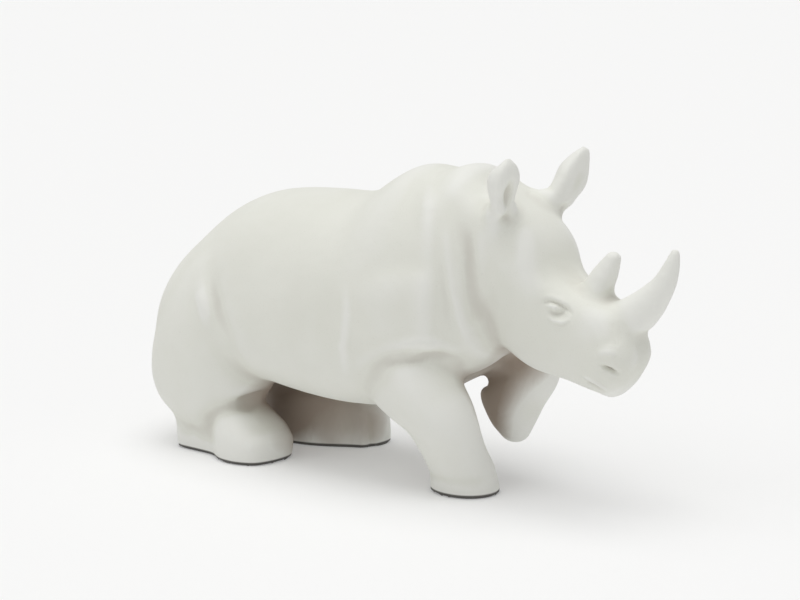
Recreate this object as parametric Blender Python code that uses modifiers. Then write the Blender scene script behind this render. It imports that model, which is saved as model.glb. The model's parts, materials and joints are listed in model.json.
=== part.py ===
"""Rhinoceros figurine in matt white ceramic, cast in one piece.

The animal is getting up: its haunches are down on both hind feet, the right
foreleg is planted and the left foreleg is lifted off the ground.
+X is the way it faces, +Y is its left side, +Z is up, in metres.
"""

import math

import bmesh
import bpy
import numpy as np
from mathutils import Matrix, Vector
from mathutils.bvhtree import BVHTree

# Driving sizes, in metres
LENGTH = 0.270  # from the rump to the tip of the front horn
FOOT_EDGE = 0.0010  # the small bevel round the foot of each leg

# The pose and the carving are shares of the length, in hundredths of it
HUNDREDTH = LENGTH / 100.0
CLAY_VOXEL = 0.55 * HUNDREDTH  # how finely the masses are merged
MOST_TRIANGLES = 9000
RING_SIDES = 32
LEFT = 1.0
RIGHT = -1.0

TOE_GAP = 7.3  # how far left of the middle the toes of the left hind foot part
TOE_DEPTH = 0.6
HOOF_LINE = 0.1  # the depth of the line round the planted hoof

BISQUE_COLOUR = (0.80, 0.79, 0.75, 1.0)
BISQUE_ROUGHNESS = 0.62

# Each station of a mass is the centre of one section and its reach:
# x, y, z, half width, reach above the centre, reach below it
TORSO = (
    (-46.8, 0.0, 16.0, 9.0, 9.5, 7.0),
    (-44.6, 0.0, 19.0, 12.6, 11.5, 9.5),
    (-41.5, 0.0, 20.5, 14.4, 14.0, 11.0),
    (-37.5, 0.0, 21.5, 15.4, 16.2, 12.0),
    (-32.0, 0.0, 22.0, 16.2, 19.8, 11.0),
    (-26.0, 0.0, 22.5, 16.6, 21.8, 9.6),
    (-20.0, 0.0, 23.0, 16.6, 22.2, 10.6),
    (-13.0, 0.0, 23.5, 16.5, 22.0, 12.0),
    (-6.4, 0.0, 24.0, 16.4, 21.6, 12.9),
    (-1.5, 0.0, 25.0, 16.4, 21.8, 13.7),
    (2.5, 0.0, 26.0, 16.4, 23.3, 14.2),
    (6.5, 0.0, 27.5, 16.0, 23.5, 14.5),
    (11.2, 0.0, 29.5, 15.0, 21.0, 14.0),
    (16.0, 0.0, 31.5, 13.4, 20.2, 13.3),
    (19.5, 0.0, 33.5, 11.4, 16.0, 12.5),
)
HEAD = (
    (15.5, 0.0, 41.5, 9.5, 9.8, 12.5),
    (20.5, 0.0, 40.5, 9.2, 7.3, 13.4),
    (25.5, 0.0, 37.6, 8.3, 6.1, 13.2),
    (30.0, 0.0, 33.4, 7.2, 3.9, 12.6),
    (34.5, 0.0, 29.6, 6.2, 5.2, 11.3),
    (39.0, 0.0, 26.2, 5.5, 7.0, 7.8),
    (42.4, 0.0, 24.3, 5.0, 5.8, 6.3),
    (44.2, 0.0, 23.3, 4.3, 3.7, 6.0),
)
FRONT_HORN = (
    (42.8, 0.0, 28.2, 3.6, 4.1, 2.2),
    (44.7, 0.0, 30.5, 3.2, 3.7, 2.9),
    (47.0, 0.0, 32.9, 2.5, 2.7, 2.6),
    (49.4, 0.0, 35.9, 1.8, 1.9, 1.85),
    (50.6, 0.0, 38.6, 1.3, 1.35, 1.35),
    (51.3, 0.0, 40.9, 0.8, 0.8, 0.8),
)
REAR_HORN = (
    (38.0, 0.0, 31.6, 2.9, 3.8, 2.6),
    (39.0, 0.0, 34.2, 2.5, 3.4, 1.4),
    (40.0, 0.0, 36.9, 1.85, 2.3, 1.4),
    (41.0, 0.0, 39.4, 1.1, 1.2, 1.1),
)
LEFT_EAR = (
    (26.3, 7.2, 45.0, 2.4, 2.3, 0.8),
    (26.7, 8.1, 46.7, 2.8, 2.7, 0.9),
    (27.2, 9.2, 48.5, 3.2, 3.0, 1.0),
    (27.4, 10.1, 50.3, 3.0, 2.9, 1.0),
    (27.7, 10.8, 52.2, 2.1, 1.8, 0.8),
    (28.0, 11.2, 53.4, 1.2, 0.9, 0.6),
)
RIGHT_EAR = (
    (26.3, 7.8, 45.2, 1.5, 1.8, 0.6),
    (26.8, 7.9, 47.2, 2.1, 2.5, 0.8),
    (27.2, 8.2, 48.8, 2.5, 3.0, 1.1),
    (27.8, 8.6, 50.6, 2.7, 3.1, 1.1),
    (28.1, 8.9, 52.3, 2.0, 1.8, 0.8),
    (28.1, 9.0, 53.1, 1.1, 0.9, 0.5),
)
EAR_STALK = (
    (23.6, 5.8, 39.5, 3.0, 2.6, 2.6),
    (24.4, 5.6, 43.2, 3.4, 2.4, 2.4),
    (25.3, 6.8, 45.8, 2.6, 2.0, 1.8),
)
# A haunch, a hind foot and a shoulder are given on the left and mirrored where
# they are on the right; the left haunch and hind foot stand further forward
HAUNCH = (
    (-24.0, 6.0, 35.0, 6.0, 8.0, 8.0),
    (-27.5, 8.0, 28.0, 8.0, 9.5, 11.0),
    (-31.0, 9.0, 20.0, 8.4, 10.6, 13.2),
    (-32.8, 9.2, 13.6, 8.2, 10.6, 14.0),
    (-33.4, 9.2, 9.2, 7.4, 8.6, 13.0),
    (-33.4, 9.2, 6.4, 6.2, 6.2, 9.0),
)
RIGHT_HIND_FOOT = (
    (-38.3, 9.0, 2.2, 5.0, 5.7, 6.0),
    (-33.0, 9.0, 2.6, 5.0, 6.6, 6.0),
    (-28.6, 9.2, 3.0, 5.2, 6.8, 6.0),
    (-25.0, 9.9, 3.1, 6.4, 6.0, 6.0),
    (-21.8, 10.0, 3.0, 6.2, 4.0, 6.0),
    (-19.9, 10.1, 2.8, 5.4, 2.4, 6.0),
)
LEFT_HIND_FOOT = (
    (-33.4, 8.6, 2.2, 5.6, 5.7, 6.0),
    (-27.8, 7.6, 2.6, 7.2, 6.6, 6.0),
    (-23.8, 8.0, 3.0, 7.2, 7.6, 6.0),
    (-19.8, 9.0, 3.2, 6.3, 7.6, 6.0),
    (-16.6, 9.6, 3.4, 5.2, 6.4, 6.0),
    (-14.2, 9.6, 3.6, 4.2, 4.4, 6.0),
)
LEFT_HAUNCH_FORWARD = 3.0
SHOULDER = (
    (-6.0, 8.0, 28.0, 7.4, 8.5, 11.0),
    (-1.0, 8.0, 28.5, 7.6, 8.5, 11.6),
    (4.0, 8.4, 29.0, 7.7, 9.0, 10.6),
    (10.0, 8.6, 29.4, 7.4, 9.0, 8.2),
    (15.5, 7.6, 30.0, 7.0, 9.0, 8.0),
)
PLANTED_FORELEG = (
    (9.0, -8.0, 24.5, 5.6, 5.4, 9.0),
    (10.2, -8.4, 22.0, 6.0, 5.6, 10.5),
    (12.0, -8.8, 18.5, 6.0, 5.5, 10.0),
    (13.7, -8.8, 15.5, 5.7, 5.2, 7.8),
    (15.2, -8.2, 12.5, 5.2, 5.5, 5.9),
    (16.1, -5.8, 6.5, 4.6, 5.0, 4.9),
    (15.9, -3.6, 2.5, 4.9, 5.7, 5.4),
    (15.8, -2.8, -1.5, 5.0, 5.9, 5.6),
)
RAISED_ARM = (
    (7.0, 8.0, 27.5, 6.5, 7.5, 7.5),
    (10.0, 9.0, 24.0, 6.5, 7.6, 7.4),
    (14.5, 9.4, 20.8, 6.4, 6.2, 4.9),
    (19.6, 8.9, 19.6, 5.2, 4.6, 3.0),
)
RAISED_FOOT = (
    (20.4, 8.9, 20.0, 4.7, 4.4, 2.6),
    (20.0, 8.6, 17.2, 4.9, 4.5, 2.6),
    (18.3, 8.3, 13.0, 4.8, 3.6, 7.4),
    (17.9, 7.9, 9.8, 4.0, 3.0, 5.2),
    (18.2, 7.6, 7.3, 2.6, 1.9, 2.6),
)
TAIL = (
    (-39.5, 0.0, 36.5, 1.5, 1.3, 1.3),
    (-43.0, 0.0, 32.5, 1.2, 1.2, 1.2),
    (-46.0, 0.0, 27.0, 1.0, 1.0, 1.0),
    (-47.5, 0.0, 21.0, 1.1, 0.9, 0.9),
)

# Carved lines: how deep, how wide, whether it is mirrored onto the other side
# too, then the points it runs through. A raised line has a depth below 0.
BOTH = (1.0, -1.0)
ONCE = (1.0,)
FORM_LINES = (
    # cheek and neck
    (0.55, 2.1, BOTH, ((20.5, -9.5, 42.3), (20.2, -10.0, 39.4), (20.4, -10.1, 35.6),
                       (20.8, -9.7, 32.1), (21.2, -8.8, 29.2), (21.2, -8.2, 27.6))),
    (0.35, 1.0, BOTH, ((21.2, -9.3, 41.5), (21.4, -9.4, 38.2), (21.5, -9.2, 34.8),
                       (21.7, -8.6, 31.7), (21.9, -7.8, 29.4))),
    (-0.25, 1.0, BOTH, ((22.7, -9.2, 42.2), (23.1, -9.1, 38.8), (23.1, -8.7, 35.7),
                        (23.3, -7.9, 32.6), (23.6, -6.7, 29.4))),
    (-0.2, 0.6, BOTH, ((18.2, -11.0, 41.6), (18.8, -11.4, 38.6), (19.4, -11.4, 34.9),
                       (20.0, -11.2, 31.9), (20.6, -10.4, 28.8), (20.8, -9.0, 25.9))),
    (0.3, 1.1, BOTH, ((15.7, -10.4, 44.3), (16.8, -11.4, 40.8),
                       (17.8, -11.8, 37.1), (18.6, -11.7, 33.4), (19.0, -11.3, 29.5),
                       (19.6, -10.0, 26.2))),
    (-0.3, 1.3, BOTH, ((9.3, -4.4, 49.9), (13.1, -9.1, 47.1), (15.0, -11.3, 43.6),
                       (16.2, -12.2, 40.0))),
    # temples
    (-0.35, 1.4, BOTH, ((28.0, -4.4, 43.0), (29.0, -5.5, 41.0), (29.7, -6.3, 39.0),
                        (30.3, -6.7, 36.8))),
    (0.35, 2.0, BOTH, ((26.6, -7.3, 42.4), (27.3, -7.6, 40.2), (28.0, -7.7, 37.6))),
    # shoulder and hip
    (-0.32, 0.75, BOTH, ((2.5, -15.9, 31.9), (2.8, -16.3, 29.2), (2.7, -16.4, 26.0),
                         (2.3, -16.2, 22.8), (1.7, -15.5, 19.4))),
    (0.2, 2.2, BOTH, ((-1.4, -16.2, 30.0), (-1.4, -16.4, 26.0), (-1.8, -16.3, 22.0))),
    (0.35, 1.5, BOTH, ((-28.6, -14.8, 32.2), (-26.4, -16.0, 28.6), (-24.7, -16.4, 25.0),
                       (-23.1, -16.4, 22.2), (-22.2, -15.8, 19.6), (-21.4, -14.6, 17.2))),
    (-0.6, 1.3, BOTH, ((-29.6, -15.8, 29.0), (-28.4, -16.3, 26.4), (-27.3, -16.6, 23.8))),
    # the fold over the planted foreleg
    (0.45, 0.65, ONCE, ((10.0, -14.8, 21.3), (11.2, -14.8, 21.7), (13.0, -14.5, 22.1),
                       (15.3, -13.6, 22.6), (17.1, -12.0, 22.8), (18.2, -10.2, 22.6),
                       (18.7, -9.0, 22.2))),
    (0.2, 1.0, ONCE, ((18.6, -9.0, 22.6), (18.9, -7.8, 21.2), (18.6, -6.6, 19.6))),
    (-0.4, 1.0, ONCE, ((5.0, -14.8, 21.4), (9.0, -15.0, 23.4), (12.3, -14.7, 24.6),
                         (15.4, -13.7, 25.3), (17.4, -11.3, 25.2), (18.5, -9.0, 23.9))),
    # between the thigh and the foot
    (1.4, 1.2, BOTH, ((-25.6, -12.6, 9.6), (-24.6, -11.4, 9.9),
                      (-23.6, -9.8, 10.2), (-23.2, -7.5, 10.6))),
    # behind the wrist of the lifted foreleg
    (1.8, 0.9, ONCE, ((13.4, 5.2, 15.5), (12.4, 5.9, 15.4), (11.8, 8.5, 15.4),
                      (12.4, 11.5, 15.6))),
    # the edge of the chest, and the hollow under it
    (-0.3, 0.7, ONCE, ((16.4, -2.8, 19.3), (17.4, -1.2, 20.0), (18.6, 0.0, 20.9),
                       (20.2, 0.0, 22.0), (21.2, 0.8, 22.8))),
    (1.1, 1.0, ONCE, ((15.0, -2.4, 17.4), (15.6, -1.4, 18.0), (16.4, 0.2, 18.6),
                      (17.4, 1.4, 19.4), (18.4, 2.6, 20.3), (19.4, 3.2, 21.0))),
    # the cleft under the tail
    (1.0, 1.4, ONCE, ((-48.8, 0.0, 17.0), (-47.8, 0.0, 12.5), (-45.0, 0.0, 8.0))),
    # the hollows of the ears, the lobes and the skin between ear and crown
    (0.35, 1.5, ONCE, ((28.2, 8.6, 46.9), (28.4, 9.4, 48.6), (28.6, 10.2, 50.4))),
    (0.6, 1.3, ONCE, ((27.6, -8.2, 47.4), (28.1, -8.5, 49.2), (28.6, -8.8, 51.0))),
    (0.9, 0.8, ONCE, ((28.1, -8.4, 49.4), (27.6, -8.1, 47.8), (27.1, -7.6, 46.3))),
    (-0.5, 0.9, ONCE, ((26.8, -9.4, 46.6), (26.7, -8.8, 45.7))),
    (0.6, 0.8, BOTH, ((26.4, -8.8, 44.4), (26.9, -7.4, 44.6), (26.7, -6.2, 44.3))),
    (-0.8, 1.9, BOTH, ((21.8, -4.2, 46.8), (22.8, -4.8, 46.8), (24.2, -5.2, 46.9), (25.4, -5.6, 47.3))),
)
FACE_LINES = (
    # the front of the muzzle, nostrils and mouth
    (0.25, 0.8, ONCE, ((46.4, -2.2, 28.2), (46.9, 0.0, 28.4), (46.4, 2.2, 28.2))),
    (0.4, 1.7, BOTH, ((44.8, -3.6, 30.6), (44.4, -3.8, 28.4), (44.4, -3.9, 26.9))),
    (-0.2, 0.8, BOTH, ((46.2, -1.6, 27.4), (46.1, -1.9, 25.6), (45.8, -2.0, 23.8))),
    (-0.45, 0.8, BOTH, ((41.9, -5.3, 25.4), (42.9, -5.2, 25.9), (43.8, -4.9, 26.0),
                        (44.5, -4.4, 25.5))),
    (0.3, 1.1, BOTH, ((42.0, -4.7, 23.7), (43.0, -4.2, 23.2), (44.0, -3.7, 22.7))),
    (0.6, 0.4, BOTH, ((42.2, -4.4, 24.0), (42.8, -4.0, 23.7), (43.5, -3.7, 23.4),
                      (44.1, -3.4, 23.1))),
    (-0.5, 0.45, BOTH, ((39.1, -4.6, 21.7), (40.2, -4.6, 21.5), (41.2, -4.3, 21.1),
                        (42.1, -3.4, 20.4))),
    (0.4, 0.4, BOTH, ((39.1, -3.9, 21.0), (39.9, -3.8, 20.7), (40.8, -3.6, 20.3),
                      (41.6, -3.1, 20.0))),
    # eyes: socket, ball, upper lid and its fold, the pit under the ball, lower lid
    (0.35, 1.6, BOTH, ((34.2, -6.2, 31.9), (35.6, -5.9, 31.2))),
    (-0.5, 0.55, BOTH, ((34.1, -6.4, 32.1), (34.7, -6.3, 31.9))),
    (0.35, 0.38, BOTH, ((33.1, -6.3, 32.5), (33.9, -6.1, 32.6), (34.9, -5.8, 32.5),
                        (35.9, -5.5, 32.0), (36.6, -5.3, 31.6), (37.1, -5.3, 31.1))),
    (-0.2, 0.5, BOTH, ((32.8, -6.4, 33.2), (33.8, -6.1, 33.4), (34.9, -5.8, 33.2),
                       (36.1, -5.4, 32.7), (36.9, -5.2, 32.1))),
    (0.45, 0.5, BOTH, ((34.2, -6.1, 31.1), (34.9, -6.0, 30.9), (35.6, -5.8, 31.0),
                       (36.0, -5.6, 31.4), (36.2, -5.5, 31.8))),
    (-0.42, 0.42, BOTH, ((33.9, -6.4, 30.3), (34.6, -6.3, 30.0), (35.4, -6.2, 29.9),
                         (36.2, -6.1, 29.9), (37.0, -5.9, 30.2))),
)
# Where the skin is kept finer, as balls: x, y, z, radius
FINE_SPOTS = (
    (35.3, 6.0, 31.8, 4.2),
    (35.3, -6.0, 31.8, 4.2),
    (43.2, 4.2, 23.6, 3.4),
    (43.2, -4.2, 23.6, 3.4),
    (40.5, 4.3, 21.6, 3.0),
    (40.5, -4.3, 21.6, 3.0),
)
# Where the skin keeps its crisp edges, as balls too
CRISP_SPOTS = (
    (27.6, 8.8, 50.5, 8.0),
    (27.6, -8.6, 50.0, 8.0),
    (49.5, 0.0, 37.0, 8.0),
    (40.4, 0.0, 38.2, 4.4),
)


def spline(rows, per_span):
    """A smooth curve through the rows, which are points or whole stations."""
    rows = np.asarray(rows, float)
    padded = np.vstack([2 * rows[0] - rows[1], rows, 2 * rows[-1] - rows[-2]])
    curve = []
    for i in range(1, len(padded) - 2):
        before, start, end, after = padded[i - 1 : i + 3]
        for t in np.arange(per_span) / per_span:
            curve.append(
                start
                + 0.5 * t * (end - before)
                + t * t * (before - 2.5 * start + 2.0 * end - 0.5 * after)
                + t**3 * (1.5 * (start - end) + 0.5 * (after - before))
            )
    curve.append(rows[-1])
    return np.array(curve)


def section_ring(bm, station, direction, squareness, top_squareness):
    """One closed ring of a mass, square to the way the mass runs."""
    x, y, z, half_width, above, below = station
    side = Vector((0.0, 1.0, 0.0))
    side = (side - side.project(direction)).normalized()
    upper = direction.cross(side).normalized()
    frame = Matrix((side, upper, direction)).transposed().to_4x4()
    frame.translation = Vector((x, y, z))
    ring = bmesh.ops.create_circle(bm, cap_ends=False, radius=1.0, segments=RING_SIDES)
    for v in ring["verts"]:
        angle = math.atan2(v.co.y, v.co.x)
        across, over = math.cos(angle), math.sin(angle)
        power = 2.0 / (top_squareness if over > 0 else squareness)
        reach = above if over > 0 else below
        v.co = frame @ Vector(
            (
                math.copysign(abs(across) ** power, across) * half_width,
                math.copysign(abs(over) ** power, over) * reach,
                0.0,
            )
        )
    return list({e for v in ring["verts"] for e in v.link_edges})


def rounded_end(station, direction, length, steps=4):
    """The stations of a domed end, from the last full section outwards."""
    dome = []
    for k in range(1, steps + 1):
        angle = 0.5 * math.pi * k / (steps + 0.15)
        point = Vector(station[:3]) + direction * (length * math.sin(angle))
        reach = np.asarray(station[3:]) * math.cos(angle)
        dome.append(np.array([*point, *reach]))
    return dome


def mass(name, stations, domes, side=1.0, squareness=2.1, forward=0.0, top=None, upright=False):
    """One closed mass of clay, lofted through its stations."""
    start_dome, end_dome = domes
    rows = spline(stations, 5)
    rows[:, 1] *= side
    rows[:, 0] += forward
    steps = np.gradient(rows[:, :3], axis=0)
    ways = [Vector(step).normalized() for step in steps]
    if upright:
        ways = [Vector((1.0, 0.0, 0.0))] * len(rows)
    first = rounded_end(rows[0], -ways[0], start_dome)[::-1]
    last = rounded_end(rows[-1], ways[-1], end_dome)
    sections = [(row, ways[0]) for row in first]
    sections += list(zip(rows, ways))
    sections += [(row, ways[-1]) for row in last]
    bm = bmesh.new()
    top = top or squareness
    rings = [section_ring(bm, row, way, squareness, top) for row, way in sections]
    for a, b in zip(rings, rings[1:]):
        bmesh.ops.bridge_loops(bm, edges=a + b)
    for ring in (rings[0], rings[-1]):
        bmesh.ops.holes_fill(bm, edges=ring, sides=RING_SIDES)
    bmesh.ops.recalc_face_normals(bm, faces=bm.faces)
    mesh = bpy.data.meshes.new(name)
    bm.to_mesh(mesh)
    bm.free()
    return mesh


def masses():
    """Every mass of the animal, in hundredths of its length."""
    made = [
        mass("torso", TORSO, (2.0, 4.0), squareness=2.5, top=2.1, upright=True),
        mass("head", HEAD, (3.0, 1.5), squareness=2.2, top=2.9),
        mass("front_horn", FRONT_HORN, (2.0, 0.6), squareness=2.0),
        mass("rear_horn", REAR_HORN, (1.0, 0.7), squareness=2.0),
        mass("planted_foreleg", PLANTED_FORELEG, (2.5, 0.5)),
        mass("raised_arm", RAISED_ARM, (4.0, 4.0)),
        mass("raised_foot", RAISED_FOOT, (3.0, 1.5)),
        mass("tail", TAIL, (1.0, 0.8)),
    ]
    for name, side in (("left", LEFT), ("right", RIGHT)):
        left = max(side, 0.0)
        thigh = LEFT_HAUNCH_FORWARD * left
        foot = LEFT_HIND_FOOT if side == LEFT else RIGHT_HIND_FOOT
        made.append(mass("haunch_" + name, HAUNCH, (5.0, 3.0), side, forward=thigh))
        made.append(mass("foot_" + name, foot, (1.8, 2.2), side, 2.7 + 1.6 * left))
        made.append(mass("ear_stalk_" + name, EAR_STALK, (1.0, 1.0), side))
        ear = LEFT_EAR if side == LEFT else RIGHT_EAR
        made.append(mass("ear_" + name, ear, (0.6, 0.6), side, squareness=2.0))
        made.append(mass("shoulder_" + name, SHOULDER, (5.0, 3.0), side, 2.8, upright=True))
    return made


def merged(voxel):
    """The masses pressed together into one skin."""
    bm = bmesh.new()
    for mesh in masses():
        bm.from_mesh(mesh)
        bpy.data.meshes.remove(mesh)
    bmesh.ops.scale(bm, vec=(HUNDREDTH,) * 3, verts=bm.verts)
    mesh = bpy.data.meshes.new("clay")
    bm.to_mesh(mesh)
    bm.free()
    clay = bpy.data.objects.new("clay", mesh)
    bpy.context.scene.collection.objects.link(clay)
    remesh = clay.modifiers.new("press_together", "REMESH")
    remesh.mode = "VOXEL"
    remesh.voxel_size = voxel
    bpy.context.view_layer.update()
    graph = bpy.context.evaluated_depsgraph_get()
    skin = bpy.data.meshes.new_from_object(clay.evaluated_get(graph))
    bpy.data.objects.remove(clay)
    return skin


def relax(mesh, rounds, loose):
    """Smooths the skin; loose is 1 where it may move and 0 where it may not."""
    count = len(mesh.vertices)
    points = positions(mesh)
    ends = np.empty(len(mesh.edges) * 2, int)
    mesh.edges.foreach_get("vertices", ends)
    a, b = ends.reshape(-1, 2).T
    valence = np.bincount(a, minlength=count) + np.bincount(b, minlength=count)
    for _ in range(rounds):
        total = np.stack(
            [
                np.bincount(a, points[b, k], count) + np.bincount(b, points[a, k], count)
                for k in range(3)
            ],
            axis=1,
        )
        mean = total / valence[:, None]
        points += 0.5 * loose[:, None] * (mean - points)
    place(mesh, points)


def positions(mesh, layer="co"):
    """The vertices' places in hundredths of the length, or their normals."""
    points = np.empty(len(mesh.vertices) * 3)
    mesh.vertices.foreach_get(layer, points)
    if layer == "co":
        points /= HUNDREDTH
    return points.reshape(-1, 3)


def within(points, spot):
    """1 inside the ball, falling to 0 over its outer third."""
    away = np.linalg.norm(points - np.asarray(spot[:3]), axis=1) / spot[3]
    return np.clip(3.0 * (1.0 - away), 0.0, 1.0)


def refine(mesh, spots):
    """Splits the faces of the skin that lie inside the balls."""
    points = positions(mesh)
    inside = np.max([within(points, spot) for spot in spots], axis=0) > 0.3
    bm = bmesh.new()
    bm.from_mesh(mesh)
    bm.verts.ensure_lookup_table()
    edges = [e for e in bm.edges if inside[e.verts[0].index] and inside[e.verts[1].index]]
    bmesh.ops.subdivide_edges(bm, edges=edges, cuts=1, use_grid_fill=True)
    bm.to_mesh(mesh)
    bm.free()


def carve(mesh, lines):
    """Cuts and raises carved lines, square to the skin."""
    points, normals = positions(mesh), positions(mesh, "normal")
    shift = np.zeros(len(points))
    bm = bmesh.new()
    bm.from_mesh(mesh)
    skin = BVHTree.FromBMesh(bm)
    bm.free()
    for depth, width, sides, path in lines:
        for side in sides:
            line = spline(np.array(path) * (1.0, side, 1.0), 8)
            for i, point in enumerate(line):
                line[i] = np.array(skin.find_nearest(Vector(point * HUNDREDTH))[0]) / HUNDREDTH
            reach = 3.0 * width
            low, high = line.min(axis=0) - reach, line.max(axis=0) + reach
            chosen = np.flatnonzero(((points > low) & (points < high)).all(axis=1))
            gaps = np.linalg.norm(points[chosen, None] - line[None], axis=2)
            along = gaps.argmin(axis=1) / (len(line) - 1.0)
            fade = np.sin(np.pi * (0.08 + 0.84 * along)) ** 0.8 if len(path) > 2 else 1.0
            shift[chosen] -= depth * fade * np.exp(-((gaps.min(axis=1) / width) ** 2))
    place(mesh, points + normals * shift[:, None])


def place(mesh, points):
    mesh.vertices.foreach_set("co", (points * HUNDREDTH).ravel())
    mesh.update()


def shape_feet(mesh):
    """Parts the toes of the left hind foot and marks the edge of the planted hoof."""
    points, normals = positions(mesh), positions(mesh, "normal")
    x, y, z = points.T
    low = np.clip((9.0 - z) / 3.0, 0.0, 1.0)
    shift = np.zeros(len(points))
    front = LEFT_HIND_FOOT[-1][0]
    ahead = (x > front) & (x < front + 6.0) & (y > 2.0)
    gap = np.exp(-(((y - TOE_GAP) / 0.6) ** 2))
    shift -= ahead * low * gap * TOE_DEPTH * np.clip(normals[:, 0], 0.0, 1.0)
    hoof = np.hypot(x - 15.9, y + 3.4) < 9.0
    shift -= hoof * HOOF_LINE * np.exp(-(((z - 3.1) / 0.6) ** 2))
    place(mesh, points + normals * shift[:, None])


def figure_skin(voxel):
    """The whole animal, smoothed and carved, before it is cut level."""
    mesh = merged(voxel)
    points = positions(mesh)
    crisp = np.max([within(points, spot) for spot in CRISP_SPOTS], axis=0)
    spacing = voxel / HUNDREDTH
    relax(mesh, int(round(4.0 / spacing**2)), 1.0 - 0.93 * crisp)
    refine(mesh, FINE_SPOTS)
    relax(mesh, 1, np.ones(len(mesh.vertices)))
    carve(mesh, FORM_LINES + FACE_LINES)
    shape_feet(mesh)
    return mesh


def lighten(mesh, most):
    """Merges the faces of the flatter places until the skin has the most allowed."""
    heavy = bpy.data.objects.new("heavy", mesh)
    bpy.context.scene.collection.objects.link(heavy)
    count = sum(len(face.vertices) - 2 for face in mesh.polygons)
    fewer = heavy.modifiers.new("fewer_faces", "DECIMATE")
    fewer.ratio = most / count
    bpy.context.view_layer.update()
    graph = bpy.context.evaluated_depsgraph_get()
    light = bpy.data.meshes.new_from_object(heavy.evaluated_get(graph))
    bpy.data.objects.remove(heavy)
    return light


def stand(mesh):
    """Cuts the feet off level with the ground and closes their soles."""
    bm = bmesh.new()
    bm.from_mesh(mesh)
    bmesh.ops.bisect_plane(
        bm,
        geom=bm.verts[:] + bm.edges[:] + bm.faces[:],
        plane_co=(0.0, 0.0, 0.0),
        plane_no=(0.0, 0.0, -1.0),
        clear_outer=True,
    )
    rim = [v for v in bm.verts if v.is_boundary]
    bmesh.ops.remove_doubles(bm, verts=rim, dist=0.25 * HUNDREDTH)
    outline = [v for v in bm.verts if v.is_boundary]
    for _ in range(4):
        even = []
        for v in outline:
            beside = [e.other_vert(v).co for e in v.link_edges if e.is_boundary]
            even.append(0.5 * v.co + 0.5 * sum(beside, Vector()) / len(beside))
        for v, point in zip(outline, even):
            v.co = point
    rim = [e for e in bm.edges if e.is_boundary]
    soles = bmesh.ops.holes_fill(bm, edges=rim, sides=0)["faces"]
    bmesh.ops.inset_region(bm, faces=soles, thickness=FOOT_EDGE, use_even_offset=True)
    inner = {v for sole in soles for v in sole.verts}
    for v in bm.verts:
        if abs(v.co.z) < 1e-6 and v not in inner:
            v.co.z = FOOT_EDGE
    bmesh.ops.triangulate(bm, faces=bm.faces)
    bmesh.ops.recalc_face_normals(bm, faces=bm.faces)
    bm.to_mesh(mesh)
    bm.free()


def settle(mesh):
    """Gives the figure its length and puts its reference point at the origin."""
    points = positions(mesh) * HUNDREDTH
    low, high = points.min(axis=0), points.max(axis=0)
    grow = LENGTH / (high[0] - low[0])
    middle = 0.5 * (low + high) * (1.0, 1.0, 0.0)
    mesh.vertices.foreach_set("co", ((points - middle) * grow).ravel())
    mesh.update()


def figurine():
    """The one solid of the figurine, facing +X and standing on the ground."""
    skin = lighten(figure_skin(CLAY_VOXEL), MOST_TRIANGLES)
    stand(skin)
    settle(skin)
    skin.name = "rhinoceros"
    figure = bpy.data.objects.new("rhinoceros", skin)
    bisque = bpy.data.materials.new("white_bisque")
    bisque.use_nodes = True
    shader = bisque.node_tree.nodes["Principled BSDF"]
    shader.inputs["Base Color"].default_value = BISQUE_COLOUR
    shader.inputs["Roughness"].default_value = BISQUE_ROUGHNESS
    shader.inputs["Metallic"].default_value = 0.0
    skin.materials.append(bisque)
    skin.shade_smooth()
    skin.set_sharp_from_angle(angle=math.radians(40.0))
    return figure


def main():
    for obj in list(bpy.data.objects):
        bpy.data.objects.remove(obj)
    group = bpy.data.collections.new("rhinoceros_figurine")
    bpy.context.scene.collection.children.link(group)
    figure = figurine()
    group.objects.link(figure)


if __name__ == "__main__":
    main()
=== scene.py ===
"""Rhinoceros figurine in matt white bisque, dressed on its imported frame.

The figure is pressed together again from the same masses as the solid, with a
finer skin, finer carving and the surface of unglazed porcelain.
Distances are in metres unless a comment says otherwise.
"""

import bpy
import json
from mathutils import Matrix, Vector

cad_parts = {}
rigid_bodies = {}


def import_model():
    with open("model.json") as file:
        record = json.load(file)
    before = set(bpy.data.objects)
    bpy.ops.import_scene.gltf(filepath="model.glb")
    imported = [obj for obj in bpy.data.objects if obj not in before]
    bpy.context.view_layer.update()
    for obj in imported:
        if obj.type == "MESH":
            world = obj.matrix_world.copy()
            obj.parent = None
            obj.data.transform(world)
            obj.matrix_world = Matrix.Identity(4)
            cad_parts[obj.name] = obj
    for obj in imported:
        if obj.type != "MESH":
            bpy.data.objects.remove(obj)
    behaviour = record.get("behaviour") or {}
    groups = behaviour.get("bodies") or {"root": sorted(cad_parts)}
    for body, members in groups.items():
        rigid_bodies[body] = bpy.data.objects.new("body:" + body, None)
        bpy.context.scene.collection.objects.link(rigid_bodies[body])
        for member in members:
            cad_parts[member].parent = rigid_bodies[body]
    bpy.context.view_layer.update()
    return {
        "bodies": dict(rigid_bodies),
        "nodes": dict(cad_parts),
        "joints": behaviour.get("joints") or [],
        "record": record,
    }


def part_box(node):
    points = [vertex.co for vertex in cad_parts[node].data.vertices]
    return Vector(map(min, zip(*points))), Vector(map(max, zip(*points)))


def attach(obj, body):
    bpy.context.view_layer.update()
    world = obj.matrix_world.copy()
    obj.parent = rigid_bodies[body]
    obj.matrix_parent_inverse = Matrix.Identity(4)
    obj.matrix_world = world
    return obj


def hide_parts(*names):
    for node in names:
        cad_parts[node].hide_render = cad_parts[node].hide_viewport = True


bl_info = {
    "name": "Bisque Rhinoceros",
    "version": (1, 0, 0),
    "blender": (4, 5, 0),
    "location": "View3D > Sidebar > Rhinoceros",
    "description": "Builds a cast bisque rhinoceros figurine and a plain stage for it",
    "category": "Add Mesh",
}

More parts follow.
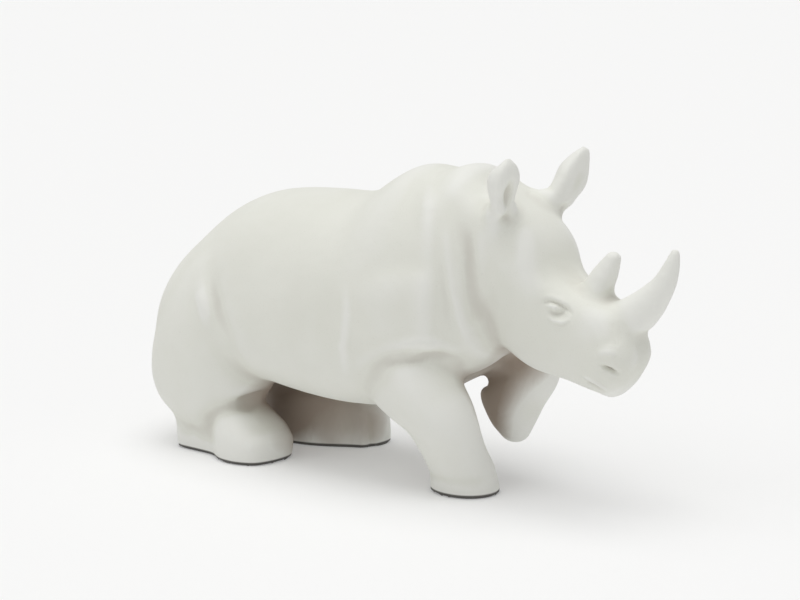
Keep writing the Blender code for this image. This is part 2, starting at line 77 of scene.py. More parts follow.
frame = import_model()

import json
import math

import bmesh
import bpy
import numpy as np
from bpy.props import FloatProperty, FloatVectorProperty, PointerProperty
from mathutils import Matrix, Vector, noise
from mathutils.bvhtree import BVHTree
from mathutils.kdtree import KDTree

# The figure's own measure, as in the solid: hundredths of its length
LENGTH = 0.270
FOOT_EDGE = 0.0010
HUNDREDTH = LENGTH / 100.0
RING_SIDES = 48
LEFT = 1.0
RIGHT = -1.0

# How far the pressed skin is smoothed, and how much of that the crisp spots are spared
SMOOTHING = 4.0
CRISP_SPARED = 0.93

# Feet: the part between the toes of the left hind foot, and the planted hoof's line
TOE_GAP = 7.3  # how far left of the middle the toes part
TOE_DEPTH = 0.6
HOOF_LINE = 0.1  # the depth of the line
HOOF_LINE_HEIGHT = 3.1
HOOF_MIDDLE = (15.9, -3.4)
LINE_WIDTH = 0.6  # how broad both cuts are

# How closely the sole's outline is merged, and how often it is evened out
SOLE_STEP = 0.25
SOLE_ROUNDS = 4

# How broadly a hollow is looked for, and how deep counts as a full one
HOLLOW_ROUNDS = 40
HOLLOW_REACH = 0.5

# How closely the sheltered places are probed: rays at each probe, vertices to a probe,
# and how often the result is evened out between its neighbours
SHELTER_RAYS = 96
SHELTER_STEP = 8
SHELTER_ROUNDS = 40
SHELTER_START = 0.3  # how far off the skin a ray starts
BELOW_COUNTS = 0.2  # what a ray that runs level or downwards counts, against 1
UPWARD_SPARED = 0.6  # how much of its share skin that faces straight up is spared

# Where the painted contact shadow under each foot fades out, in heights of the foot's bevel
CONTACT_SHADOW_FADE = (1.4, 1.9)

# Stage: the floor and the point that the camera looks at
FLOOR_REACH = 40.0
VIEW_POINT = (-0.00436, 0.0, 0.07573)

# Each station of a mass is the centre of one section and its reach:
# x, y, z, half width, reach above the centre, reach below it
TORSO = (
    (-46.8, 0.0, 16.0, 9.0, 9.5, 7.0),
    (-44.6, 0.0, 19.0, 12.6, 11.5, 9.5),
    (-41.5, 0.0, 20.5, 14.4, 14.0, 11.0),
    (-37.5, 0.0, 21.5, 15.4, 16.2, 12.0),
    (-32.0, 0.0, 22.0, 16.2, 19.8, 11.0),
    (-26.0, 0.0, 22.5, 16.6, 21.8, 9.6),
    (-20.0, 0.0, 23.0, 16.6, 22.2, 10.6),
    (-13.0, 0.0, 23.5, 16.5, 22.0, 12.0),
    (-6.4, 0.0, 24.0, 16.4, 21.6, 12.9),
    (-1.5, 0.0, 25.0, 16.4, 21.8, 13.7),
    (2.5, 0.0, 26.0, 16.4, 23.3, 14.2),
    (6.5, 0.0, 27.5, 16.0, 23.5, 14.5),
    (11.2, 0.0, 29.5, 15.0, 21.0, 14.0),
    (16.0, 0.0, 31.5, 13.4, 20.2, 13.3),
    (19.5, 0.0, 33.5, 11.4, 16.0, 12.5),
)
HEAD = (
    (15.5, 0.0, 41.5, 9.5, 9.8, 12.5),
    (20.5, 0.0, 40.5, 9.2, 7.3, 13.4),
    (25.5, 0.0, 37.6, 8.3, 6.1, 13.2),
    (30.0, 0.0, 33.4, 7.2, 3.9, 12.6),
    (34.5, 0.0, 29.6, 6.2, 5.2, 11.3),
    (39.0, 0.0, 26.2, 5.5, 7.0, 7.8),
    (42.4, 0.0, 24.3, 5.0, 5.8, 6.3),
    (44.2, 0.0, 23.3, 4.3, 3.7, 6.0),
)
FRONT_HORN = (
    (42.8, 0.0, 28.2, 3.6, 4.1, 2.2),
    (44.7, 0.0, 30.5, 3.2, 3.7, 2.9),
    (47.0, 0.0, 32.9, 2.5, 2.7, 2.6),
    (49.4, 0.0, 35.9, 1.8, 1.9, 1.85),
    (50.6, 0.0, 38.6, 1.3, 1.35, 1.35),
    (51.3, 0.0, 40.9, 0.8, 0.8, 0.8),
)
REAR_HORN = (
    (38.0, 0.0, 31.6, 2.9, 3.8, 2.6),
    (39.0, 0.0, 34.2, 2.5, 3.4, 1.4),
    (40.0, 0.0, 36.9, 1.85, 2.3, 1.4),
    (41.0, 0.0, 39.4, 1.1, 1.2, 1.1),
)
LEFT_EAR = (
    (26.3, 7.2, 45.0, 2.4, 2.3, 0.8),
    (26.7, 8.1, 46.7, 2.8, 2.7, 0.9),
    (27.2, 9.2, 48.5, 3.2, 3.0, 1.0),
    (27.4, 10.1, 50.3, 3.0, 2.9, 1.0),
    (27.7, 10.8, 52.2, 2.1, 1.8, 0.8),
    (28.0, 11.2, 53.4, 1.2, 0.9, 0.6),
)
RIGHT_EAR = (
    (26.3, 7.8, 45.2, 1.5, 1.8, 0.6),
    (26.8, 7.9, 47.2, 2.1, 2.5, 0.8),
    (27.2, 8.2, 48.8, 2.5, 3.0, 1.1),
    (27.8, 8.6, 50.6, 2.7, 3.1, 1.1),
    (28.1, 8.9, 52.3, 2.0, 1.8, 0.8),
    (28.1, 9.0, 53.1, 1.1, 0.9, 0.5),
)
EAR_STALK = (
    (23.6, 5.8, 39.5, 3.0, 2.6, 2.6),
    (24.4, 5.6, 43.2, 3.4, 2.4, 2.4),
    (25.3, 6.8, 45.8, 2.6, 2.0, 1.8),
)
# A haunch, a hind foot and a shoulder are given on the left and mirrored where
# they are on the right; the left haunch and hind foot stand further forward
HAUNCH = (
    (-24.0, 6.0, 35.0, 6.0, 8.0, 8.0),
    (-27.5, 8.0, 28.0, 8.0, 9.5, 11.0),
    (-31.0, 9.0, 20.0, 8.4, 10.6, 13.2),
    (-32.8, 9.2, 13.6, 8.2, 10.6, 14.0),
    (-33.4, 9.2, 9.2, 7.4, 8.6, 13.0),
    (-33.4, 9.2, 6.4, 6.2, 6.2, 9.0),
)
RIGHT_HIND_FOOT = (
    (-38.3, 9.0, 2.2, 5.0, 5.7, 6.0),
    (-33.0, 9.0, 2.6, 5.0, 6.6, 6.0),
    (-28.6, 9.2, 3.0, 5.2, 6.8, 6.0),
    (-25.0, 9.9, 3.1, 6.4, 6.0, 6.0),
    (-21.8, 10.0, 3.0, 6.2, 4.0, 6.0),
    (-19.9, 10.1, 2.8, 5.4, 2.4, 6.0),
)
LEFT_HIND_FOOT = (
    (-33.4, 8.6, 2.2, 5.6, 5.7, 6.0),
    (-27.8, 7.6, 2.6, 7.2, 6.6, 6.0),
    (-23.8, 8.0, 3.0, 7.2, 7.6, 6.0),
    (-19.8, 9.0, 3.2, 6.3, 7.6, 6.0),
    (-16.6, 9.6, 3.4, 5.2, 6.4, 6.0),
    (-14.2, 9.6, 3.6, 4.2, 4.4, 6.0),
)
LEFT_HAUNCH_FORWARD = 3.0
SHOULDER = (
    (-6.0, 8.0, 28.0, 7.4, 8.5, 11.0),
    (-1.0, 8.0, 28.5, 7.6, 8.5, 11.6),
    (4.0, 8.4, 29.0, 7.7, 9.0, 10.6),
    (10.0, 8.6, 29.4, 7.4, 9.0, 8.2),
    (15.5, 7.6, 30.0, 7.0, 9.0, 8.0),
)
PLANTED_FORELEG = (
    (9.0, -8.0, 24.5, 5.6, 5.4, 9.0),
    (10.2, -8.4, 22.0, 6.0, 5.6, 10.5),
    (12.0, -8.8, 18.5, 6.0, 5.5, 10.0),
    (13.7, -8.8, 15.5, 5.7, 5.2, 7.8),
    (15.2, -8.2, 12.5, 5.2, 5.5, 5.9),
    (16.1, -5.8, 6.5, 4.6, 5.0, 4.9),
    (15.9, -3.6, 2.5, 4.9, 5.7, 5.4),
    (15.8, -2.8, -1.5, 5.0, 5.9, 5.6),
)
RAISED_ARM = (
    (7.0, 8.0, 27.5, 6.5, 7.5, 7.5),
    (10.0, 9.0, 24.0, 6.5, 7.6, 7.4),
    (14.5, 9.4, 20.8, 6.4, 6.2, 4.9),
    (19.6, 8.9, 19.6, 5.2, 4.6, 3.0),
)
RAISED_FOOT = (
    (20.4, 8.9, 20.0, 4.7, 4.4, 2.6),
    (20.0, 8.6, 17.2, 4.9, 4.5, 2.6),
    (18.3, 8.3, 13.0, 4.8, 3.6, 7.4),
    (17.9, 7.9, 9.8, 4.0, 3.0, 5.2),
    (18.2, 7.6, 7.3, 2.6, 1.9, 2.6),
)
TAIL = (
    (-39.5, 0.0, 36.5, 1.5, 1.3, 1.3),
    (-43.0, 0.0, 32.5, 1.2, 1.2, 1.2),
    (-46.0, 0.0, 27.0, 1.0, 1.0, 1.0),
    (-47.5, 0.0, 21.0, 1.1, 0.9, 0.9),
)

# Carved lines: how deep, how wide, whether it is mirrored onto the other side
# too, then the points it runs through. A raised line has a depth below 0.
BOTH = (1.0, -1.0)
ONCE = (1.0,)
FORM_LINES = (
    # cheek and neck
    (0.55, 2.1, BOTH, ((20.5, -9.5, 42.3), (20.2, -10.0, 39.4), (20.4, -10.1, 35.6),
                       (20.8, -9.7, 32.1), (21.2, -8.8, 29.2), (21.2, -8.2, 27.6))),
    (0.35, 1.0, BOTH, ((21.2, -9.3, 41.5), (21.4, -9.4, 38.2), (21.5, -9.2, 34.8),
                       (21.7, -8.6, 31.7), (21.9, -7.8, 29.4))),
    (-0.25, 1.0, BOTH, ((22.7, -9.2, 42.2), (23.1, -9.1, 38.8), (23.1, -8.7, 35.7),
                        (23.3, -7.9, 32.6), (23.6, -6.7, 29.4))),
    (-0.2, 0.6, BOTH, ((18.2, -11.0, 41.6), (18.8, -11.4, 38.6), (19.4, -11.4, 34.9),
                       (20.0, -11.2, 31.9), (20.6, -10.4, 28.8), (20.8, -9.0, 25.9))),
    (0.3, 1.1, BOTH, ((15.7, -10.4, 44.3), (16.8, -11.4, 40.8),
                       (17.8, -11.8, 37.1), (18.6, -11.7, 33.4), (19.0, -11.3, 29.5),
                       (19.6, -10.0, 26.2))),
    (-0.3, 1.3, BOTH, ((9.3, -4.4, 49.9), (13.1, -9.1, 47.1), (15.0, -11.3, 43.6),
                       (16.2, -12.2, 40.0))),
    # temples
    (-0.35, 1.4, BOTH, ((28.0, -4.4, 43.0), (29.0, -5.5, 41.0), (29.7, -6.3, 39.0),
                        (30.3, -6.7, 36.8))),
    (0.35, 2.0, BOTH, ((26.6, -7.3, 42.4), (27.3, -7.6, 40.2), (28.0, -7.7, 37.6))),
    # shoulder and hip
    (-0.32, 0.75, BOTH, ((2.5, -15.9, 31.9), (2.8, -16.3, 29.2), (2.7, -16.4, 26.0),
                         (2.3, -16.2, 22.8), (1.7, -15.5, 19.4))),
    (0.2, 2.2, BOTH, ((-1.4, -16.2, 30.0), (-1.4, -16.4, 26.0), (-1.8, -16.3, 22.0))),
    (0.35, 1.5, BOTH, ((-28.6, -14.8, 32.2), (-26.4, -16.0, 28.6), (-24.7, -16.4, 25.0),
                       (-23.1, -16.4, 22.2), (-22.2, -15.8, 19.6), (-21.4, -14.6, 17.2))),
    (-0.6, 1.3, BOTH, ((-29.6, -15.8, 29.0), (-28.4, -16.3, 26.4), (-27.3, -16.6, 23.8))),
    # the fold over the planted foreleg
    (0.45, 0.65, ONCE, ((10.0, -14.8, 21.3), (11.2, -14.8, 21.7), (13.0, -14.5, 22.1),
                       (15.3, -13.6, 22.6), (17.1, -12.0, 22.8), (18.2, -10.2, 22.6),
                       (18.7, -9.0, 22.2))),
    (0.2, 1.0, ONCE, ((18.6, -9.0, 22.6), (18.9, -7.8, 21.2), (18.6, -6.6, 19.6))),
    (-0.4, 1.0, ONCE, ((5.0, -14.8, 21.4), (9.0, -15.0, 23.4), (12.3, -14.7, 24.6),
                         (15.4, -13.7, 25.3), (17.4, -11.3, 25.2), (18.5, -9.0, 23.9))),
    # between the thigh and the foot
    (1.4, 1.2, BOTH, ((-25.6, -12.6, 9.6), (-24.6, -11.4, 9.9),
                      (-23.6, -9.8, 10.2), (-23.2, -7.5, 10.6))),
    # behind the wrist of the lifted foreleg
    (1.8, 0.9, ONCE, ((13.4, 5.2, 15.5), (12.4, 5.9, 15.4), (11.8, 8.5, 15.4),
                      (12.4, 11.5, 15.6))),
    # the edge of the chest, and the hollow under it
    (-0.3, 0.7, ONCE, ((16.4, -2.8, 19.3), (17.4, -1.2, 20.0), (18.6, 0.0, 20.9),
                       (20.2, 0.0, 22.0), (21.2, 0.8, 22.8))),
    (1.1, 1.0, ONCE, ((15.0, -2.4, 17.4), (15.6, -1.4, 18.0), (16.4, 0.2, 18.6),
                      (17.4, 1.4, 19.4), (18.4, 2.6, 20.3), (19.4, 3.2, 21.0))),
    # the cleft under the tail
    (1.0, 1.4, ONCE, ((-48.8, 0.0, 17.0), (-47.8, 0.0, 12.5), (-45.0, 0.0, 8.0))),
    # the hollows of the ears, the lobes and the skin between ear and crown
    (0.35, 1.5, ONCE, ((28.2, 8.6, 46.9), (28.4, 9.4, 48.6), (28.6, 10.2, 50.4))),
    (0.6, 1.3, ONCE, ((27.6, -8.2, 47.4), (28.1, -8.5, 49.2), (28.6, -8.8, 51.0))),
    (0.9, 0.8, ONCE, ((28.1, -8.4, 49.4), (27.6, -8.1, 47.8), (27.1, -7.6, 46.3))),
    (-0.5, 0.9, ONCE, ((26.8, -9.4, 46.6), (26.7, -8.8, 45.7))),
    (0.6, 0.8, BOTH, ((26.4, -8.8, 44.4), (26.9, -7.4, 44.6), (26.7, -6.2, 44.3))),
    (-0.8, 1.9, BOTH, ((21.8, -4.2, 46.8), (22.8, -4.8, 46.8), (24.2, -5.2, 46.9),
                       (25.4, -5.6, 47.3))),
)
FACE_LINES = (
    # the front of the muzzle, nostrils and mouth
    (0.25, 0.8, ONCE, ((46.4, -2.2, 28.2), (46.9, 0.0, 28.4), (46.4, 2.2, 28.2))),
    (0.4, 1.7, BOTH, ((44.8, -3.6, 30.6), (44.4, -3.8, 28.4), (44.4, -3.9, 26.9))),
    (-0.2, 0.8, BOTH, ((46.2, -1.6, 27.4), (46.1, -1.9, 25.6), (45.8, -2.0, 23.8))),
    (-0.45, 0.8, BOTH, ((41.9, -5.3, 25.4), (42.9, -5.2, 25.9), (43.8, -4.9, 26.0),
                        (44.5, -4.4, 25.5))),
    (0.3, 1.1, BOTH, ((42.0, -4.7, 23.7), (43.0, -4.2, 23.2), (44.0, -3.7, 22.7))),
    (0.85, 0.36, BOTH, ((42.2, -4.4, 24.0), (42.8, -4.0, 23.7), (43.5, -3.7, 23.4),
                      (44.1, -3.4, 23.1))),
    (-0.45, 0.36, BOTH, ((39.1, -4.6, 21.7), (40.2, -4.6, 21.5), (41.2, -4.3, 21.1),
                        (42.1, -3.4, 20.4))),
    (0.45, 0.32, BOTH, ((39.1, -3.9, 21.0), (39.9, -3.8, 20.7), (40.8, -3.6, 20.3),
                      (41.6, -3.1, 20.0))),
    # eyes: socket, ball, upper lid and its fold, the pit under the ball, lower lid
    (0.35, 1.6, BOTH, ((34.2, -6.2, 31.9), (35.6, -5.9, 31.2))),
    (-0.5, 0.55, BOTH, ((34.1, -6.4, 32.1), (34.7, -6.3, 31.9))),
    (0.4, 0.32, BOTH, ((33.1, -6.3, 32.5), (33.9, -6.1, 32.6), (34.9, -5.8, 32.5),
                        (35.9, -5.5, 32.0), (36.6, -5.3, 31.6), (37.1, -5.3, 31.1))),
    (-0.2, 0.5, BOTH, ((32.8, -6.4, 33.2), (33.8, -6.1, 33.4), (34.9, -5.8, 33.2),
                       (36.1, -5.4, 32.7), (36.9, -5.2, 32.1))),
    (0.45, 0.5, BOTH, ((34.2, -6.1, 31.1), (34.9, -6.0, 30.9), (35.6, -5.8, 31.0),
                       (36.0, -5.6, 31.4), (36.2, -5.5, 31.8))),
    (-0.45, 0.36, BOTH, ((33.9, -6.4, 30.3), (34.6, -6.3, 30.0), (35.4, -6.2, 29.9),
                         (36.2, -6.1, 29.9), (37.0, -5.9, 30.2))),
)
# Where the skin is made finer, once and then once more, as balls: x, y, z, radius
FINE_SPOTS = (
    (35.2, 6.0, 31.8, 4.6),
    (35.2, -6.0, 31.8, 4.6),
    (43.4, 3.6, 24.4, 4.8),
    (43.4, -3.6, 24.4, 4.8),
    (40.5, 4.0, 21.4, 3.4),
    (40.5, -4.0, 21.4, 3.4),
)
FINEST_SPOTS = (
    (35.2, 6.0, 31.6, 3.6),
    (35.2, -6.0, 31.6, 3.6),
    (43.3, 4.1, 23.8, 2.6),
    (43.3, -4.1, 23.8, 2.6),
)
# Where the skin keeps its crisp edges, as balls too
CRISP_SPOTS = (
    (27.6, 8.8, 50.5, 8.0),
    (27.6, -8.6, 50.0, 8.0),
    (49.5, 0.0, 37.0, 8.0),
    (40.4, 0.0, 38.2, 4.4),
)


def spline(rows, per_span):
    """A smooth curve through the rows, which are points or whole stations."""
    rows = np.asarray(rows, float)
    padded = np.vstack([2 * rows[0] - rows[1], rows, 2 * rows[-1] - rows[-2]])
    curve = []
    for i in range(1, len(padded) - 2):
        before, start, end, after = padded[i - 1 : i + 3]
        for t in np.arange(per_span) / per_span:
            curve.append(
                start
                + 0.5 * t * (end - before)
                + t * t * (before - 2.5 * start + 2.0 * end - 0.5 * after)
                + t**3 * (1.5 * (start - end) + 0.5 * (after - before))
            )
    curve.append(rows[-1])
    return np.array(curve)


def section_ring(bm, station, direction, squareness, top_squareness):
    """One closed ring of a mass, square to the way the mass runs."""
    x, y, z, half_width, above, below = station
    side = Vector((0.0, 1.0, 0.0))
    side = (side - side.project(direction)).normalized()
    upper = direction.cross(side).normalized()
    frame = Matrix((side, upper, direction)).transposed().to_4x4()
    frame.translation = Vector((x, y, z))
    ring = bmesh.ops.create_circle(bm, cap_ends=False, radius=1.0, segments=RING_SIDES)
    for v in ring["verts"]:
        angle = math.atan2(v.co.y, v.co.x)
        across, over = math.cos(angle), math.sin(angle)
        power = 2.0 / (top_squareness if over > 0 else squareness)
        reach = above if over > 0 else below
        v.co = frame @ Vector(
            (
                math.copysign(abs(across) ** power, across) * half_width,
                math.copysign(abs(over) ** power, over) * reach,
                0.0,
            )
        )
    return list({e for v in ring["verts"] for e in v.link_edges})


def rounded_end(station, direction, length, steps=4):
    """The stations of a domed end, from the last full section outwards."""
    dome = []
    for k in range(1, steps + 1):
        angle = 0.5 * math.pi * k / (steps + 0.15)
        point = Vector(station[:3]) + direction * (length * math.sin(angle))
        reach = np.asarray(station[3:]) * math.cos(angle)
        dome.append(np.array([*point, *reach]))
    return dome


def mass(name, stations, domes, side=1.0, squareness=2.1, forward=0.0, top=None, upright=False):
    """One closed mass of clay, lofted through its stations."""
    start_dome, end_dome = domes
    rows = spline(stations, 5)
    rows[:, 1] *= side
    rows[:, 0] += forward
    steps = np.gradient(rows[:, :3], axis=0)
    ways = [Vector(step).normalized() for step in steps]
    if upright:
        ways = [Vector((1.0, 0.0, 0.0))] * len(rows)
    first = rounded_end(rows[0], -ways[0], start_dome)[::-1]
    last = rounded_end(rows[-1], ways[-1], end_dome)
    sections = [(row, ways[0]) for row in first]
    sections += list(zip(rows, ways))
    sections += [(row, ways[-1]) for row in last]
    bm = bmesh.new()
    top = top or squareness
    rings = [section_ring(bm, row, way, squareness, top) for row, way in sections]
    for a, b in zip(rings, rings[1:]):
        bmesh.ops.bridge_loops(bm, edges=a + b)
    for ring in (rings[0], rings[-1]):
        bmesh.ops.holes_fill(bm, edges=ring, sides=RING_SIDES)
    bmesh.ops.recalc_face_normals(bm, faces=bm.faces)
    mesh = bpy.data.meshes.new(name)
    bm.to_mesh(mesh)
    bm.free()
    return mesh


def masses():
    """Every mass of the animal, in hundredths of its length."""
    made = [
        mass("torso", TORSO, (2.0, 4.0), squareness=2.5, top=2.1, upright=True),
        mass("head", HEAD, (3.0, 1.5), squareness=2.2, top=2.9),
        mass("front_horn", FRONT_HORN, (2.0, 0.6), squareness=2.0),
        mass("rear_horn", REAR_HORN, (1.0, 0.7), squareness=2.0),
        mass("planted_foreleg", PLANTED_FORELEG, (2.5, 0.5)),
        mass("raised_arm", RAISED_ARM, (4.0, 4.0)),
        mass("raised_foot", RAISED_FOOT, (3.0, 1.5)),
        mass("tail", TAIL, (1.0, 0.8)),
    ]
    for name, side in (("left", LEFT), ("right", RIGHT)):
        left = max(side, 0.0)
        thigh = LEFT_HAUNCH_FORWARD * left
        foot = LEFT_HIND_FOOT if side == LEFT else RIGHT_HIND_FOOT
        made.append(mass("haunch_" + name, HAUNCH, (5.0, 3.0), side, forward=thigh))
        made.append(mass("foot_" + name, foot, (1.8, 2.2), side, 2.7 + 1.6 * left))
        made.append(mass("ear_stalk_" + name, EAR_STALK, (1.0, 1.0), side))
        ear = LEFT_EAR if side == LEFT else RIGHT_EAR
        made.append(mass("ear_" + name, ear, (0.6, 0.6), side, squareness=2.0))
        made.append(mass("shoulder_" + name, SHOULDER, (5.0, 3.0), side, 2.8, upright=True))
    return made


def merged(voxel):
    """The masses pressed together into one skin."""
    bm = bmesh.new()
    for mesh in masses():
        bm.from_mesh(mesh)
        bpy.data.meshes.remove(mesh)
    bmesh.ops.scale(bm, vec=(HUNDREDTH,) * 3, verts=bm.verts)
    mesh = bpy.data.meshes.new("clay")
    bm.to_mesh(mesh)
    bm.free()
    clay = bpy.data.objects.new("clay", mesh)
    bpy.context.scene.collection.objects.link(clay)
    remesh = clay.modifiers.new("press_together", "REMESH")
    remesh.mode = "VOXEL"
    remesh.voxel_size = voxel
    bpy.context.view_layer.update()
    graph = bpy.context.evaluated_depsgraph_get()
    skin = bpy.data.meshes.new_from_object(clay.evaluated_get(graph))
    bpy.data.objects.remove(clay)
    return skin


def positions(mesh, layer="co"):
    """The vertices' places in hundredths of the length, or their normals."""
    points = np.empty(len(mesh.vertices) * 3)
    mesh.vertices.foreach_get(layer, points)
    if layer == "co":
        points /= HUNDREDTH
    return points.reshape(-1, 3)


def place(mesh, points):
    mesh.vertices.foreach_set("co", (points * HUNDREDTH).ravel())
    mesh.update()


def smooth(mesh, points, rounds, loose=None):
    """Draws points, or one value at each, to their neighbours; loose is 1 where free."""
    count = len(points)
    ends = np.empty(len(mesh.edges) * 2, int)
    mesh.edges.foreach_get("vertices", ends)
    a, b = ends.reshape(-1, 2).T
    valence = np.bincount(a, minlength=count) + np.bincount(b, minlength=count)
    step = 0.5 if loose is None else 0.5 * loose[:, None]
    for _ in range(rounds):
        total = np.stack(
            [
                np.bincount(a, points[b, k], count) + np.bincount(b, points[a, k], count)
                for k in range(points.shape[1])
            ],
            axis=1,
        )
        points += step * (total / valence[:, None] - points)


def within(points, spot):
    """1 inside the ball, falling to 0 over its outer third."""
    away = np.linalg.norm(points - np.asarray(spot[:3]), axis=1) / spot[3]
    return np.clip(3.0 * (1.0 - away), 0.0, 1.0)


def refine(mesh, spots):
    """Splits the faces of the skin that lie inside the balls."""
    points = positions(mesh)
    inside = np.max([within(points, spot) for spot in spots], axis=0) > 0.3
    bm = bmesh.new()
    bm.from_mesh(mesh)
    bm.verts.ensure_lookup_table()
    edges = [e for e in bm.edges if inside[e.verts[0].index] and inside[e.verts[1].index]]
    bmesh.ops.subdivide_edges(bm, edges=edges, cuts=1, use_grid_fill=True)
    bm.to_mesh(mesh)
    bm.free()


def carve(mesh, lines):
    """Cuts and raises carved lines, square to the skin."""
    points, normals = positions(mesh), positions(mesh, "normal")
    shift = np.zeros(len(points))
    bm = bmesh.new()
    bm.from_mesh(mesh)
    skin = BVHTree.FromBMesh(bm)
    bm.free()
    for depth, width, sides, path in lines:
        for side in sides:
            line = spline(np.array(path) * (1.0, side, 1.0), 8)
            for i, point in enumerate(line):
                line[i] = np.array(skin.find_nearest(Vector(point * HUNDREDTH))[0]) / HUNDREDTH
            reach = 3.0 * width
            low, high = line.min(axis=0) - reach, line.max(axis=0) + reach
            chosen = np.flatnonzero(((points > low) & (points < high)).all(axis=1))
            gaps = np.linalg.norm(points[chosen, None] - line[None], axis=2)
            along = gaps.argmin(axis=1) / (len(line) - 1.0)
            # a line of three points or more is weaker towards its ends
            fade = np.sin(np.pi * (0.08 + 0.84 * along)) ** 0.8 if len(path) > 2 else 1.0
            shift[chosen] -= depth * fade * np.exp(-((gaps.min(axis=1) / width) ** 2))
    place(mesh, points + normals * shift[:, None])


def shape_feet(mesh):
    """Parts the toes of the left hind foot and marks the edge of the planted hoof."""
    points, normals = positions(mesh), positions(mesh, "normal")
    x, y, z = points.T
    low = np.clip((9.0 - z) / 3.0, 0.0, 1.0)
    shift = np.zeros(len(points))
    front = LEFT_HIND_FOOT[-1][0]
    ahead = (x > front) & (x < front + 6.0) & (y > 2.0)
    gap = np.exp(-(((y - TOE_GAP) / LINE_WIDTH) ** 2))
    shift -= ahead * low * gap * TOE_DEPTH * np.clip(normals[:, 0], 0.0, 1.0)
    hoof = np.hypot(x - HOOF_MIDDLE[0], y - HOOF_MIDDLE[1]) < 9.0
    shift -= hoof * HOOF_LINE * np.exp(-(((z - HOOF_LINE_HEIGHT) / LINE_WIDTH) ** 2))
    place(mesh, points + normals * shift[:, None])


def figure_skin(step):
    """The whole animal, smoothed and carved, before it is cut level."""
    mesh = merged(step)
    points = positions(mesh)
    crisp = np.max([within(points, spot) for spot in CRISP_SPOTS], axis=0)
    rounds = int(round(SMOOTHING / (step / HUNDREDTH) ** 2))
    smooth(mesh, points, rounds, 1.0 - CRISP_SPARED * crisp)
    place(mesh, points)
    carve(mesh, FORM_LINES)
    shape_feet(mesh)
    for spots in (FINE_SPOTS, FINEST_SPOTS):
        refine(mesh, spots)
        points = positions(mesh)
        smooth(mesh, points, 1)
        place(mesh, points)
    carve(mesh, FACE_LINES)
    return mesh


def stand(mesh):
    """Cuts the feet off level with the ground and closes their soles."""
    bm = bmesh.new()
    bm.from_mesh(mesh)
    bmesh.ops.bisect_plane(
        bm,
        geom=bm.verts[:] + bm.edges[:] + bm.faces[:],
        plane_co=(0.0, 0.0, 0.0),
        plane_no=(0.0, 0.0, -1.0),
        clear_outer=True,
    )
    rim = [v for v in bm.verts if v.is_boundary]
    bmesh.ops.remove_doubles(bm, verts=rim, dist=SOLE_STEP * HUNDREDTH)
    outline = [v for v in bm.verts if v.is_boundary]
    for _ in range(SOLE_ROUNDS):
        even = []
        for v in outline:
            beside = [e.other_vert(v).co for e in v.link_edges if e.is_boundary]
            even.append(0.5 * v.co + 0.5 * sum(beside, Vector()) / len(beside))
        for v, point in zip(outline, even):
            v.co = point
    rim = [e for e in bm.edges if e.is_boundary]
    soles = bmesh.ops.holes_fill(bm, edges=rim, sides=0)["faces"]
    bmesh.ops.inset_region(bm, faces=soles, thickness=FOOT_EDGE, use_even_offset=True)
    inner = {v for sole in soles for v in sole.verts}
    for v in bm.verts:
        if abs(v.co.z) < 1e-6 and v not in inner:
            v.co.z = FOOT_EDGE
    bmesh.ops.triangulate(bm, faces=bm.faces)
    bmesh.ops.recalc_face_normals(bm, faces=bm.faces)
    bm.to_mesh(mesh)
    bm.free()


def settle(mesh):
    """Gives the figure its length and puts its reference point at the origin."""
    points = positions(mesh) * HUNDREDTH
    low, high = points.min(axis=0), points.max(axis=0)
    grow = LENGTH / (high[0] - low[0])
    middle = 0.5 * (low + high) * (1.0, 1.0, 0.0)
    mesh.vertices.foreach_set("co", ((points - middle) * grow).ravel())
    mesh.update()


def work_by_hand(mesh, height):
    """Leaves the faint unevenness of a surface smoothed with a wet sponge."""
    points, normals = positions(mesh), positions(mesh, "normal")
    shift = np.empty(len(points))
    for i, point in enumerate(points):
        broad = noise.noise(Vector(point * 0.16))
        narrow = noise.noise(Vector(point * 0.55 + 40.0))
        shift[i] = broad + 0.35 * narrow
    place(mesh, points + normals * (shift * height / HUNDREDTH)[:, None])


def hollows(mesh):
    """How far each vertex lies in a hollow (above 0.5) or on an edge (below 0.5)."""
    points = positions(mesh)
    normals = positions(mesh, "normal")
    broad = points.copy()
    smooth(mesh, broad, HOLLOW_ROUNDS)
    depth = np.einsum("ij,ij->i", broad - points, normals)
    return np.clip(0.5 + depth / HOLLOW_REACH, 0.0, 1.0)


def sheltered(mesh):
    """How much of the air before each vertex the figure shuts off, spared where it faces up."""
    points, normals = positions(mesh), positions(mesh, "normal")
    skin = BVHTree.FromPolygons(points.tolist(), [face.vertices[:] for face in mesh.polygons])
    turn = math.pi * (3.0 - math.sqrt(5.0))
    ways = []
    for i in range(SHELTER_RAYS):
        rise = 1.0 - (2.0 * i + 1.0) / SHELTER_RAYS
        flat = math.sqrt(1.0 - rise * rise)
        ways.append(Vector((flat * math.cos(turn * i), flat * math.sin(turn * i), rise)))
    probes = range(0, len(points), SHELTER_STEP)
    tree, shut = KDTree(len(probes)), []
    for i, probe in enumerate(probes):
        normal = Vector(normals[probe])
        start = Vector(points[probe]) + normal * SHELTER_START
        weight = struck = 0.0
        for way in ways:
            pull = way.dot(normal) * (1.0 if way.z > 0.0 else BELOW_COUNTS)
            if pull > 0.01:
                weight += pull
                struck += pull * bool(skin.ray_cast(start, way)[0])
        tree.insert(start, i)
        shut.append(struck / weight * (1.0 - UPWARD_SPARED * max(normal.z, 0.0)))
    tree.balance()
    share = np.empty((len(points), 1))
    for i, point in enumerate(points):
        near = tree.find_n(Vector(point), 4)
        weights = [1.0 / (0.2 + distance) for _, _, distance in near]
        share[i] = sum(w * shut[j] for w, (_, j, _) in zip(weights, near)) / sum(weights)
    smooth(mesh, share, SHELTER_ROUNDS)
    return share[:, 0]


